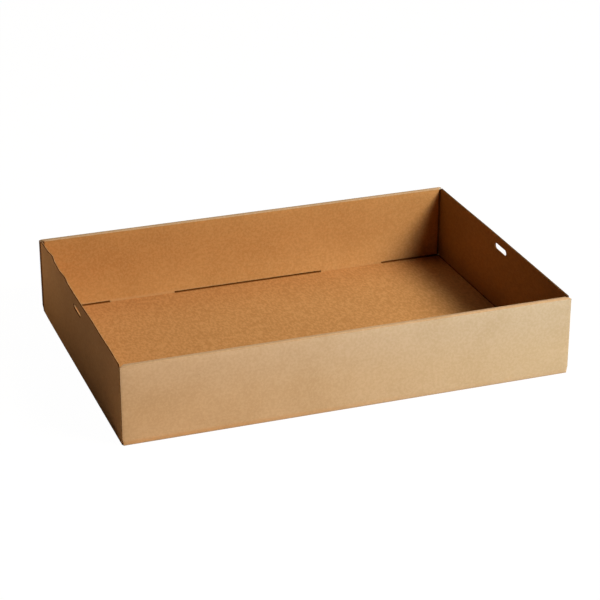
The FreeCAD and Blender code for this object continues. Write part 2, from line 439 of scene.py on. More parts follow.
@dataclass(frozen=True)
class Nodes:
    """The nodes of one material, whose patterns follow one place's coordinates."""

    tree: bpy.types.NodeTree
    place: Socket
    stretch_turn: Triple = (0.03, 0.05, 0.08)

    def coordinate(self, axis: Axis) -> Socket:
        """Takes one coordinate of the place.

        Args:
            axis: which of them.

        Returns:
            Its value.
        """
        parts = self.tree.nodes.new("ShaderNodeSeparateXYZ")
        self.tree.links.new(self.place, parts.inputs[0])
        return parts.outputs[axis.value]

    def stretched(self, scale: Triple) -> Socket:
        """Squeezes the place, so that a pattern becomes longer along the smaller numbers.

        Args:
            scale: the share of each coordinate.

        Returns:
            The squeezed coordinates.
        """
        node = self.tree.nodes.new("ShaderNodeMapping")
        node.inputs["Scale"].default_value = scale
        node.inputs["Rotation"].default_value = self.stretch_turn
        self.tree.links.new(self.place, node.inputs["Vector"])
        return node.outputs["Vector"]

    def noise(self, scale: float, detail: float, roughness: float, stretch: Triple | None = None) -> Socket:
        """Adds noise of one scale.

        Args:
            scale: patches per metre.
            detail: how many finer layers it has.
            roughness: how strong the finer layers are.
            stretch: how its coordinates are squeezed, if they are.

        Returns:
            Its value, from 0 to 1.
        """
        node = self.tree.nodes.new("ShaderNodeTexNoise")
        node.inputs["Scale"].default_value = scale
        node.inputs["Detail"].default_value = detail
        node.inputs["Roughness"].default_value = roughness
        self.tree.links.new(self.stretched(stretch) if stretch else self.place, node.inputs["Vector"])
        return node.outputs["Fac"]

    def math(self, kind: Arithmetic, first: Socket, second: float | Socket | None = None) -> Socket:
        """Adds a Math node.

        Args:
            kind: what it works out.
            first: its first value.
            second: its second value, where it has one.

        Returns:
            The result.
        """
        node = self.tree.nodes.new("ShaderNodeMath")
        node.operation = kind.value
        self.tree.links.new(first, node.inputs[0])
        if isinstance(second, float):
            node.inputs[1].default_value = second
        elif second is not None:
            self.tree.links.new(second, node.inputs[1])
        return node.outputs[0]

    def between(self, value: Socket, start: float, stop: float, first: float = 0.0,
                last: float = 1.0) -> Socket:
        """Maps a value from its useful range to a new range.

        Args:
            value: the value.
            start: where the useful range starts, which may be its high end.
            stop: where it stops.
            first: the result at the start.
            last: the result at the stop.

        Returns:
            The mapped value.
        """
        node = self.tree.nodes.new("ShaderNodeMapRange")
        node.interpolation_type = "SMOOTHSTEP"
        node.inputs["From Min"].default_value = start
        node.inputs["From Max"].default_value = stop
        node.inputs["To Min"].default_value = first
        node.inputs["To Max"].default_value = last
        self.tree.links.new(value, node.inputs["Value"])
        return node.outputs["Result"]

    def faded(self, fade: Fade) -> Socket:
        """Works out a fade at the place.

        Args:
            fade: the fade.

        Returns:
            The share there.
        """
        return self.between(self.coordinate(fade.axis), fade.start, fade.stop, fade.first, fade.last)

    def blend(self, first: Colour | Socket, second: Colour | Socket, share: float | Socket,
              mixing: Mixing = Mixing.COVER) -> Socket:
        """Lays one colour over another.

        Args:
            first: the colour beneath.
            second: the colour above.
            share: how strong the second is.
            mixing: how it is laid over the first.

        Returns:
            The mixed colour.
        """
        node = self.tree.nodes.new("ShaderNodeMix")
        node.data_type = "RGBA"
        node.blend_type = mixing.value
        if isinstance(share, float):
            node.inputs["Factor"].default_value = share
        else:
            self.tree.links.new(share, node.inputs["Factor"])
        sockets = [item for item in node.inputs if item.type == "RGBA"]
        for socket, colour in zip(sockets, (first, second)):
            if isinstance(colour, tuple):
                socket.default_value = (*colour, 1.0)
            else:
                self.tree.links.new(colour, socket)
        return next(item for item in node.outputs if item.type == "RGBA")


@dataclass(frozen=True)
class KraftPaper:
    """One face of the board: brown kraft paper with fibres, flecks and faint ribs.

    A paper may be tinted with washes of painted light and shade, and may carry a band of painted light
    at its foot and a painted reflection of the floor on the fold under it. The ribs follow one another
    along the axis that crosses the flutes.
    """

    name: str
    tone: Colour
    across: Axis
    washes: tuple[Wash, ...] = ()
    foot: Colour | None = None
    floor_reflection: Colour | None = None
    speckle: float = 0.5
    flecks: float = 0.5
    roughness: float = 0.82
    sheen: float = 0.05
    gloss: float = 0.2
    blot_stretch: Triple = (1.0, 1.0, 1.0)
    fibre_stretch: Triple = (0.4, 1.0, 1.0)
    fleck_stretch: Triple = (0.7, 1.0, 1.0)
    cloud_scale: float = 14.0
    blot_scale: float = 400.0
    grain_scale: float = 520.0
    fibre_scale: float = 800.0
    fleck_scale: float = 210.0
    fleck_size: float = 0.1
    fleck_rarity: float = 12.0
    sheen_roughness: float = 0.5
    ribs: float = 0.25
    relief_strength: float = 0.35
    relief_depth: float = 0.12 * MM

    def build(self) -> bpy.types.Material:
        """Makes the paper's material.

        Returns:
            A material whose pattern follows Object coordinates.
        """
        material = bpy.data.materials.new(self.name)
        material.use_nodes = True
        tree = material.node_tree
        shader = tree.nodes["Principled BSDF"]
        shader.inputs["Roughness"].default_value = self.roughness
        shader.inputs["Sheen Weight"].default_value = self.sheen
        shader.inputs["Sheen Roughness"].default_value = self.sheen_roughness
        shader.inputs["Specular IOR Level"].default_value = self.gloss
        nodes = Nodes(tree, tree.nodes.new("ShaderNodeTexCoord").outputs["Object"])

        clouds = nodes.noise(self.cloud_scale, 3.0, 0.55)
        blots = nodes.noise(self.blot_scale, 2.0, 0.6, self.blot_stretch)
        grain = nodes.noise(self.grain_scale, 3.0, 0.6)
        fibres = nodes.noise(self.fibre_scale, 2.0, 0.5, self.fibre_stretch)

        deep = shade(self.tone, *DEEP_SHARE)
        pale = shade(self.tone, *PALE_SHARE)
        tone = nodes.blend(deep, self.tone, nodes.between(clouds, 0.3, 0.6, 0.4, 1.0))
        for pattern, start, stop, colour, strength in (
            (blots, 0.44, 0.64, pale, 1.0),
            (blots, 0.56, 0.36, deep, 1.0),
            (grain, 0.52, 0.7, pale, 0.6),
            (fibres, 0.54, 0.72, deep, 0.8),
        ):
            share = nodes.between(pattern, start, stop, 0.0, self.speckle * strength)
            tone = nodes.blend(tone, colour, share)
        tone = self.painted_foot_and_reflection(nodes, self.washed(nodes, tone))
        tone = nodes.blend(tone, shade(deep, *FLECK_SHARE), self.fleck_share(nodes))
        tree.links.new(tone, shader.inputs["Base Color"])

        ribs = nodes.math(Arithmetic.PRODUCT, self.rib_wave(nodes), self.ribs)
        relief = nodes.math(Arithmetic.SUM, ribs, nodes.math(Arithmetic.SUM, grain, fibres))
        bump = tree.nodes.new("ShaderNodeBump")
        bump.inputs["Strength"].default_value = self.relief_strength
        bump.inputs["Distance"].default_value = self.relief_depth
        tree.links.new(relief, bump.inputs["Height"])
        tree.links.new(bump.outputs["Normal"], shader.inputs["Normal"])
        return material

    def washed(self, nodes: Nodes, tone: Socket) -> Socket:
        """Tints the paper with each of its washes of painted light and shade.

        Args:
            nodes: the material's nodes.
            tone: the paper's colour.

        Returns:
            The tinted colour.
        """
        for wash in self.washes:
            tint = nodes.blend(WHITE, wash.tint, nodes.faded(wash.fade))
            tone = nodes.blend(tone, tint, 1.0, Mixing.TINT)
        return tone

    def painted_foot_and_reflection(self, nodes: Nodes, tone: Socket) -> Socket:
        """Paints the lowest few millimetres: a band of painted light at the foot and a painted reflection of
        the floor on the fold under it.

        Args:
            nodes: the material's nodes.
            tone: the paper's colour.

        Returns:
            The changed colour.
        """
        if self.foot is not None:
            share = nodes.math(Arithmetic.PRODUCT, nodes.faded(FOOT_RISE), nodes.faded(FOOT_REACH))
            tone = nodes.blend(tone, self.foot, share)
        if self.floor_reflection is not None:
            tone = nodes.blend(tone, self.floor_reflection, nodes.faded(FLOOR_REFLECTION_RISE))
        return tone

    def rib_wave(self, nodes: Nodes) -> Socket:
        """Makes a soft wave at the flutes' pitch, across the flutes.

        Args:
            nodes: the material's nodes.

        Returns:
            A value from -1 to 1.
        """
        turn = nodes.math(Arithmetic.PRODUCT, nodes.coordinate(self.across), 2 * math.pi / FLUTE_PITCH)
        return nodes.math(Arithmetic.SINE, turn)

    def fleck_share(self, nodes: Nodes) -> Socket:
        """Scatters small flecks of irregular size.

        Args:
            nodes: the material's nodes.

        Returns:
            How dark the flecks are, nothing between them.
        """
        tree = nodes.tree
        cells = tree.nodes.new("ShaderNodeTexVoronoi")
        cells.inputs["Scale"].default_value = self.fleck_scale
        tree.links.new(nodes.stretched(self.fleck_stretch), cells.inputs["Vector"])
        pick = tree.nodes.new("ShaderNodeSeparateColor")
        tree.links.new(cells.outputs["Color"], pick.inputs[0])
        rare = nodes.math(Arithmetic.POWER, pick.outputs[0], self.fleck_rarity)
        reach = nodes.math(Arithmetic.PRODUCT, rare, self.fleck_size)
        inside = nodes.math(Arithmetic.DIFFERENCE, reach, cells.outputs["Distance"])
        return nodes.math(Arithmetic.PRODUCT, nodes.between(inside, -0.02, 0.04), self.flecks)


def paper(name: str, tone: Colour, across: Axis, speckle: float, flecks: float,
          washes: tuple[Wash, ...] = (), foot: Colour | None = None,
          floor_reflection: Colour | None = None) -> KraftPaper:
    """Describes a sound kraft paper.

    Args:
        name: its name.
        tone: its middle colour.
        across: the axis that crosses the flutes.
        speckle: how mottled it is.
        flecks: how dark its flecks are.
        washes: how its tone changes along the wall, as painted light and shade.
        foot: its band of painted light at its foot.
        floor_reflection: its painted reflection of the white floor on the rounded fold under the foot.

    Returns:
        The paper, with its fibres along the flutes.
    """
    lying = across is Axis.DEPTH
    return KraftPaper(
        name, tone, across, washes, foot, floor_reflection, speckle, flecks,
        blot_stretch=(1.0, 0.5, 1.0) if lying else (1.0, 1.0, 1.0),
        fibre_stretch=(1.0, 0.4, 1.0) if lying else (0.4, 1.0, 1.0),
    )


def crushed(name: str, tone: Colour, across: Axis) -> KraftPaper:
    """Describes a rough paper without any shine, for cut edges, fluting and the painted shade in folds.

    Args:
        name: its name.
        tone: its middle colour.
        across: the axis that crosses the flutes.

    Returns:
        The paper.
    """
    return KraftPaper(name, tone, across, speckle=0.6, flecks=0.4, roughness=0.95, sheen=0.0, gloss=0.04)


OUTER_TONE = (0.577, 0.354, 0.171)
INNER_TONE = (0.53, 0.25, 0.072)
# Painted warm light bounced up from the floor, on the foot of the long walls' outer liner.
FOOT_BOUNCE_TONE = shade(INNER_TONE, 1.08, 1.12, 1.3)
# Painted reflection of the white floor on the long walls' rounded bottom fold: greyer and darker than the
# face.
FLOOR_REFLECTION_TONE = shade(OUTER_TONE, 0.72, 0.78, 0.9)
RIM_TONE = shade(OUTER_TONE, 0.91, 0.92, 0.95)
# Painted shade: the end walls' outer liner is a darker, more saturated copy of the long walls' outer tone.
END_OUTER_SHADED_TONE = shade(OUTER_TONE, 0.91, 0.75, 0.54)
PANEL_TONE = shade(INNER_TONE, 0.92, 0.89, 0.84)
# Painted pale light along the foot of the long walls' inner panels.
PANEL_FOOT_LIGHT_TONE = shade(INNER_TONE, 1.1, 1.3, 1.75)
# Painted shade: the right end wall's inside, which stands in the key lamp's shadow, is a darker copy of the
# inner tone.
RIGHT_INNER_SHADED_TONE = shade(INNER_TONE, 0.76, 0.76, 0.68)
BASE_TONE = shade(INNER_TONE, 0.975, 0.945, 0.91)
# Painted shade for folds and gaps: the end walls' inner foot and back corner fold, and the base's end folds
# and slit strips.
FOLD_SHADE_TONE = shade(INNER_TONE, 0.42, 0.3, 0.18)
CUT_EDGE_TONE = shade(INNER_TONE, 0.3, 0.2, 0.1)
FLUTING_TONE = shade(INNER_TONE, 0.26, 0.16, 0.07)
INNER_CUT_TONE = shade(INNER_TONE, 1.05, 1.25, 1.7)
# Lit and shaded copies of the inner paper's cut edge: paler on the left wall, where the key lamp falls on it,
# and painted shade on the right wall, which stands in shadow.
LEFT_CUT_LIT_TONE = shade(INNER_TONE, 1.1, 1.35, 1.9)
RIGHT_CUT_SHADED_TONE = shade(INNER_TONE, 0.4, 0.36, 0.3)

# Painted sheen: the long walls' outer liner grows paler towards the right end and towards the top.
OUTER_SHEEN_WASHES = (
    Wash((0.95, 1.19, 1.47), Fade(Axis.LENGTH, -0.26, 0.26)),
    Wash((1.0, 1.05, 1.16), Fade(Axis.HEIGHT, 20.0 * MM, 78.0 * MM)),
)
# Painted light: the inner panels grow paler towards the right end and towards their foot.
PANEL_LIGHT_WASHES = (
    Wash((1.1, 1.15, 1.25), Fade(Axis.LENGTH, -0.26, 0.26)),
    Wash((1.07, 1.15, 1.24), Fade(Axis.HEIGHT, 50.0 * MM, 4.0 * MM)),
)
# Painted shade: the right end wall's inside darkens further towards the back corner and towards the bottom.
RIGHT_INNER_SHADE_WASHES = (
    Wash((0.79, 0.82, 0.72), Fade(Axis.DEPTH, 40.0 * MM, 155.0 * MM)),
    Wash((0.9, 0.86, 0.8), Fade(Axis.HEIGHT, 30.0 * MM, 4.0 * MM)),
)
# Painted light and shade: the base grows paler towards the right end and darker towards the back wall.
BASE_LIGHT_AND_SHADE_WASHES = (
    Wash((1.06, 1.08, 1.1), Fade(Axis.LENGTH, -0.26, 0.26)),
    Wash((0.92, 0.88, 0.82), Fade(Axis.DEPTH, 80.0 * MM, 156.0 * MM)),
)


@dataclass(frozen=True)
class Finishes:
    """The papers of one wall."""

    outside: KraftPaper
    inside: KraftPaper
    cut_edge: KraftPaper
    inner_cut: KraftPaper
    crease: KraftPaper
    fluting: KraftPaper

    @classmethod
    def of(cls, prefix: str, across: Axis, outside: KraftPaper, inside: KraftPaper, crease: KraftPaper,
           inner_cut: Colour = INNER_CUT_TONE) -> "Finishes":
        """Adds the papers of the cut edges to those of the faces.

        Args:
            prefix: the wall's name.
            across: the axis that crosses its flutes.
            outside: its outer paper.
            inside: its inner paper.
            crease: the paper of a long wall's rim folds, and of the painted shade in the folds and gaps of an
                end wall or the base.
            inner_cut: colour of the inner paper's cut edge.

        Returns:
            The wall's finishes.
        """
        return cls(
            outside,
            inside,
            crushed(f"{prefix}_cut_edge", CUT_EDGE_TONE, across),
            paper(f"{prefix}_inner_cut", inner_cut, across, 0.9, 0.8),
            crease,
            crushed(f"{prefix}_fluting", FLUTING_TONE, across),
        )

    def build(self) -> list[bpy.types.Material]:
        """Makes the materials.

        Returns:
            The materials, in the order of Paper.
        """
        parts = (self.outside, self.inside, self.cut_edge, self.inner_cut, self.crease, self.fluting)
        return [part.build() for part in parts]


def new_edges(result: dict) -> tuple[Row, list[bmesh.types.BMVert]]:
    """The edges and vertices at the far side of an extrusion.

    Args:
        result: what bmesh.ops.extrude_edge_only returned.

    Returns:
        The new edges and their vertices.
    """
    verts = [item for item in result["geom"] if isinstance(item, bmesh.types.BMVert)]
    known = set(verts)
    edges = [item for item in result["geom"] if isinstance(item, bmesh.types.BMEdge)]
    return [edge for edge in edges if all(vert in known for vert in edge.verts)], verts


def row_of(bm: bmesh.types.BMesh, points: Iterable[Vector]) -> Row:
    """Starts a sheet as one row of edges.

    Args:
        bm: the sheet.
        points: the places that the row runs through.

    Returns:
        The row.
    """
    verts = [bm.verts.new(point) for point in points]
    return [bm.edges.new(pair) for pair in zip(verts, verts[1:])]


def draw_out(bm: bmesh.types.BMesh, edges: Row, by: Vector, steps: int = 1) -> Row:
    """Extends a sheet from its edges in equal steps.

    Args:
        bm: the sheet.
        edges: the row to start from.
        by: the whole distance.
        steps: how many rows of faces.

    Returns:
        The last row of edges.
    """
    for _ in range(steps):
        edges, verts = new_edges(bmesh.ops.extrude_edge_only(bm, edges=edges))
        bmesh.ops.translate(bm, verts=verts, vec=by / steps)
    return edges


def fold(bm: bmesh.types.BMesh, edges: Row, centre: Vector, axis: Vector, angle: float,
         steps: int = 4) -> Row:
    """Carries a row of edges round a fold.

    Args:
        bm: the sheet.
        edges: the row where the fold starts.
        centre: a point on the fold's axis.
        axis: direction of the fold's axis.
        angle: how far the board turns.
        steps: how many rows of faces.

    Returns:
        The row of edges where the fold ends.
    """
    verts = list({vert for edge in edges for vert in edge.verts})
    last = bmesh.ops.spin(bm, geom=edges + verts, cent=centre, axis=axis, dvec=(0, 0, 0), angle=angle,
                          steps=steps, use_merge=False, use_duplicate=False)["geom_last"]
    return [item for item in last if isinstance(item, bmesh.types.BMEdge)]


def face_towards(bm: bmesh.types.BMesh, towards: Callable[[Vector], Vector]) -> None:
    """Turns a sheet's faces one way.

    Args:
        bm: the sheet.
        towards: gives the way at a place.
    """
    bmesh.ops.recalc_face_normals(bm, faces=bm.faces)
    votes = sum(face.calc_area() * face.normal.dot(towards(face.calc_center_median())) for face in bm.faces)
    if votes < 0:
        bmesh.ops.reverse_faces(bm, faces=bm.faces)


def thickened(bm: bmesh.types.BMesh, thickness: float, main: Paper, cut: Paper) -> bpy.types.Mesh:
    """Gives a sheet its thickness behind its faces.

    The cut edges of a face with another finish than the main one are as many slots further on.

    Args:
        bm: the sheet, which is freed.
        thickness: thickness of the paper or board.
        main: finish of the sheet's faces that have none yet.
        cut: finish of the cut edges.

    Returns:
        A closed mesh.
    """
    for face in bm.faces:
        face.material_index = main.value if face.material_index == 0 else face.material_index
    mesh = bpy.data.meshes.new("sheet")
    bm.to_mesh(mesh)
    bm.free()
    carrier = bpy.data.objects.new("sheet", mesh)
    for _ in Paper:
        mesh.materials.append(None)
    bpy.context.scene.collection.objects.link(carrier)
    solid = carrier.modifiers.new("thickness", "SOLIDIFY")
    solid.thickness = thickness
    solid.offset = -1.0
    solid.use_even_offset = True
    solid.use_quality_normals = True
    solid.material_offset_rim = cut.value - main.value
    graph = bpy.context.evaluated_depsgraph_get()
    result = bpy.data.meshes.new_from_object(carrier.evaluated_get(graph), depsgraph=graph)
    bpy.data.objects.remove(carrier)
    bpy.data.meshes.remove(mesh)
    return result


def joined(name: str, sheets: Iterable[bpy.types.Mesh], materials: Sequence[bpy.types.Material],
           shape: Callable[[Vector], Vector]) -> bpy.types.Object:
    """Makes one piece of several sheets, formed to its real shape.

    Args:
        name: the piece's name.
        sheets: closed meshes, which are removed.
        materials: the finishes in the order of Paper.
        shape: gives each point its final place.

    Returns:
        The piece, placed in the scene.
    """
    bm = bmesh.new()
    for sheet in sheets:
        bm.from_mesh(sheet)
        bpy.data.meshes.remove(sheet)
    for vert in bm.verts:
        vert.co = shape(vert.co)
    mesh = bpy.data.meshes.new(name)
    bm.to_mesh(mesh)
    bm.free()
    for material in materials:
        mesh.materials.append(material)
    mesh.shade_smooth()
    mesh.set_sharp_from_angle(angle=SHARP_ANGLE)
    piece = bpy.data.objects.new(name, mesh)
    bpy.context.scene.collection.objects.link(piece)
    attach(piece, "root")
    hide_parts(NODE)
    LOG.info("%s: %d faces", name, len(mesh.polygons))
    return piece


def evenly(low: float, high: float, longest: float) -> list[float]:
    """Divides a length into equal steps.

    Args:
        low: where it starts.
        high: where it ends.
        longest: the longest step.

    Returns:
        The places, with both ends.
    """
    count = max(1, math.ceil((high - low) / longest - 1e-9))
    return [low + (high - low) * index / count for index in range(count + 1)]


def places_through(stops: Iterable[float], longest: float) -> list[float]:
    """Divides a length that has to pass through stops.

    Args:
        stops: the stops, in any order.
        longest: the longest step.

    Returns:
        The places, with equal steps between each two stops.
    """
    ordered = sorted(stops)
    places = [ordered[0]]
    for low, high in zip(ordered, ordered[1:]):
        places.extend(evenly(low, high, longest)[1:])
    return places


@dataclass(frozen=True)
class BoardFace:
    """Where one face of the board runs in a wall: its planes and the radii of its folds."""

    outer: float
    base: float
    rim: float
    inner: float
    fold_radius: float
    rim_radius: float = 0.0


@dataclass
class Wall:
    """What the walls share: each is drawn flat at its positive side, settled and turned."""

    name: str
    tray: Tray
    side: Side
    finishes: Finishes

    def sheets(self) -> list[bpy.types.Mesh]:
        """Makes the papers and the fluting.

        Returns:
            The closed sheets of the wall.
        """
        raise NotImplementedError

    def settled(self, place: Vector) -> Vector:
        """Gives the wall its real shape, on its own side.

        Args:
            place: a place on the flat wall.

        Returns:
            Its final place.
        """
        raise NotImplementedError

    def build(self) -> bpy.types.Object:
        """Makes the wall.

        Returns:
            The wall, placed in the scene.
        """
        piece = joined(self.name, self.sheets(), self.finishes.build(), self.settled)
        if self.side is Side.NEAR:
            piece.data.flip_normals()
        return piece


@dataclass
class RolledWall(Wall):
    """A long wall: outer panel, rim and inner panel rolled from one strip of board."""

    left_short: float = 0.0
    column: float = 9.0 * MM
    lean: float = 0.12 * MM
    lean_waves: Triple = (9.0, 3.1, 4.0)
    sag: float = 0.05 * MM
    sag_waves: Triple = (14.0, 7.7, 0.3)

    def faces(self) -> tuple[BoardFace, BoardFace]:
        """Places the two faces of the board.

        Returns:
            The outer and the inner face.
        """
        tray = self.tray
        outside = BoardFace(tray.outer_face, 0.0, tray.rim, tray.half_width,
                            tray.crushed_fold, tray.rim_radius)
        inside = BoardFace(tray.outer_front, tray.board, tray.rim - tray.board, tray.inner_back,
                           tray.crease, tray.crease)
        return outside, inside

    def sheet(self, face: BoardFace) -> bmesh.types.BMesh:
        """Draws one face of the wall from the base fold to the bottom of the inner panel.

        Args:
            face: the planes that this face follows.

        Returns:
            An open sheet at the positive Y side.
        """
        tray = self.tray
        near, far = tray.tab_ends
        crushed_places = [tray.panel_end - tray.crushed_end * share for share in (1.0, 0.5, 0.0)]
        ends = (near, far, *crushed_places)
        stops = [0.0, *ends, *(-end for end in ends)]
        bm = bmesh.new()
        along = Vector((1, 0, 0))
        first = tray.outer_face - tray.bend_outside
        start = face.outer - face.fold_radius
        edges = row_of(bm, [Vector((x, first, face.base)) for x in places_through(stops, self.column)])
        if start > first:
            edges = draw_out(bm, edges, Vector((0, start - first, 0)))
        foot = face.base + face.fold_radius
        edges = fold(bm, edges, Vector((0, start, foot)), along, QUARTER_TURN)
        edges = draw_out(bm, edges, Vector((0, 0, tray.overhang_foot - foot)), steps=2)
        head = face.rim - face.rim_radius
        edges = draw_out(bm, edges, Vector((0, 0, head - tray.overhang_foot)), steps=7)
        edges = fold(bm, edges, Vector((0, face.outer - face.rim_radius, head)), along, QUARTER_TURN)
        band = face.outer - face.inner - 2 * face.rim_radius
        edges = draw_out(bm, edges, Vector((0, -band, 0)), steps=2)
        edges = fold(bm, edges, Vector((0, face.inner + face.rim_radius, head)), along, QUARTER_TURN)
        edges = draw_out(bm, edges, Vector((0, 0, tray.inner_foot - head)), steps=8)
        tabs = [edge for edge in edges if near < abs(sum(vert.co.x for vert in edge.verts)) / 2 < far]
        draw_out(bm, tabs, Vector((0, 0, tray.tab_tip_rise - tray.inner_foot)))
        self.trim_ends(bm, face, head)
        return bm

    def trim_ends(self, bm: bmesh.types.BMesh, face: BoardFace, head: float) -> None:
        """Moves the sheet's ends to where they are cut, and crushes them a little.

        Args:
            bm: the sheet.
            face: the planes that it follows.
            head: height where the rim's folds start.
        """
        tray = self.tray
        reach = max(vert.co.x for vert in bm.verts)
        held = reach - tray.trimmed_end
        sound = tray.panel_end - tray.crushed_end
        for vert in bm.verts:
            end = tray.panel_end_at(vert.co.y, vert.co.z)
            if vert.co.x < 0 and vert.co.y > tray.outer_front - TOUCH:
                end -= self.left_short
            past = max((abs(vert.co.x) - sound) / (reach - sound), 0.0)
            if vert.co.z > head - TOUCH:
                vert.co.z -= tray.rim_end_crush * past ** 2
            if face.outer == tray.outer_face and vert.co.y > tray.outer_face - TOUCH:
                vert.co.y -= tray.end_crush * past ** 2
            if abs(vert.co.x) > held:
                share = (abs(vert.co.x) - held) / (reach - held)
                vert.co.x = math.copysign(held + (end - held) * share, vert.co.x)

    def mark_papers(self, bm: bmesh.types.BMesh) -> None:
        """Gives the rim and the inner panel their own finishes.

        Args:
            bm: the outer sheet.
        """
        tray = self.tray
        for face in bm.faces:
            place = face.calc_center_median()
            if place.z > tray.rim - 1.2 * tray.rim_radius:
                face.material_index = Paper.CREASE_AND_SHADE.value
            elif place.y < tray.inner_back:
                face.material_index = Paper.INSIDE.value

    def outwards(self, place: Vector) -> Vector:
        """Points away from the middle of the rolled wall.

        Args:
            place: a place on the wall.

        Returns:
            The way out there.
        """
        tray = self.tray
        away = Vector((0, place.y - (tray.outer_front + tray.inner_back) / 2, 0))
        if place.z > tray.rim - 2 * tray.board:
            away += Vector((0, 0, 1))
        return away

    def sheets(self) -> list[bpy.types.Mesh]:
        """Makes the two papers that face the board, and the fluting that shows at its ends.

        Returns:
            The closed sheets of the wall.
        """
        outside, inside = self.faces()
        outer = self.sheet(outside)
        face_towards(outer, self.outwards)
        self.mark_papers(outer)
        inner = self.sheet(inside)
        face_towards(inner, lambda place: -self.outwards(place))
        thickness = self.tray.liner
        liners = [thickened(sheet, thickness, Paper.OUTSIDE, Paper.CUT_EDGE) for sheet in (outer, inner)]
        return liners + self.end_fluting()

    def end_fluting(self) -> list[bpy.types.Mesh]:
        """Makes the waves that show between the papers at the cut ends of the two panels.

        Returns:
            The four waves.
        """
        tray = self.tray
        sheets = []
        swing = tray.board / 2 - tray.liner - tray.medium / 2
        for front in (tray.outer_front, tray.half_width):
            middle = front + tray.board / 2
            low = tray.inner_foot if front == tray.half_width else tray.bend_outside + tray.board
            heights = evenly(low, tray.rim - tray.board - tray.crease, FLUTE_PITCH / FLUTE_POINTS)
            for end in (-1, 1):
                bm = bmesh.new()
                points = []
                for z in heights:
                    wave = swing * math.sin(2 * math.pi * z / FLUTE_PITCH)
                    reach = tray.panel_end_at(middle, z) - tray.fluting_setback
                    points.append(Vector((end * reach, middle + wave, z)))
                draw_out(bm, row_of(bm, points), Vector((-end * tray.fluting_depth, 0, 0)))
                face_towards(bm, lambda place: Vector((0, 1, 0)))
                sheets.append(thickened(bm, tray.medium, Paper.FLUTING, Paper.FLUTING))
        return sheets

    def settled(self, place: Vector) -> Vector:
        """Gives the wall its real shape: not quite flat, its rim not quite even, on its own side.

        Args:
            place: a place on the flat wall.

        Returns:
            Its final place.
        """
        tray = self.tray
        side = self.side.value
        length = math.cos(QUARTER_TURN * min(abs(place.x) / tray.panel_end, 1.0))
        height = min(max(place.z / tray.rim, 0.0), 1.0)
        along, seed, up = self.lean_waves
        uneven = 1.0 + noise.noise(Vector((place.x * along, side * seed, place.z * up)))
        inwards = self.lean * length * height ** 1.5 * uneven
        along, seed, level = self.sag_waves
        sag = self.sag * (1.0 + noise.noise(Vector((place.x * along, side * seed, level)))) * height ** 4
        x = min(max(place.x, -tray.panel_end), tray.panel_end)
        return Vector((x, side * (place.y - inwards), place.z - sag))


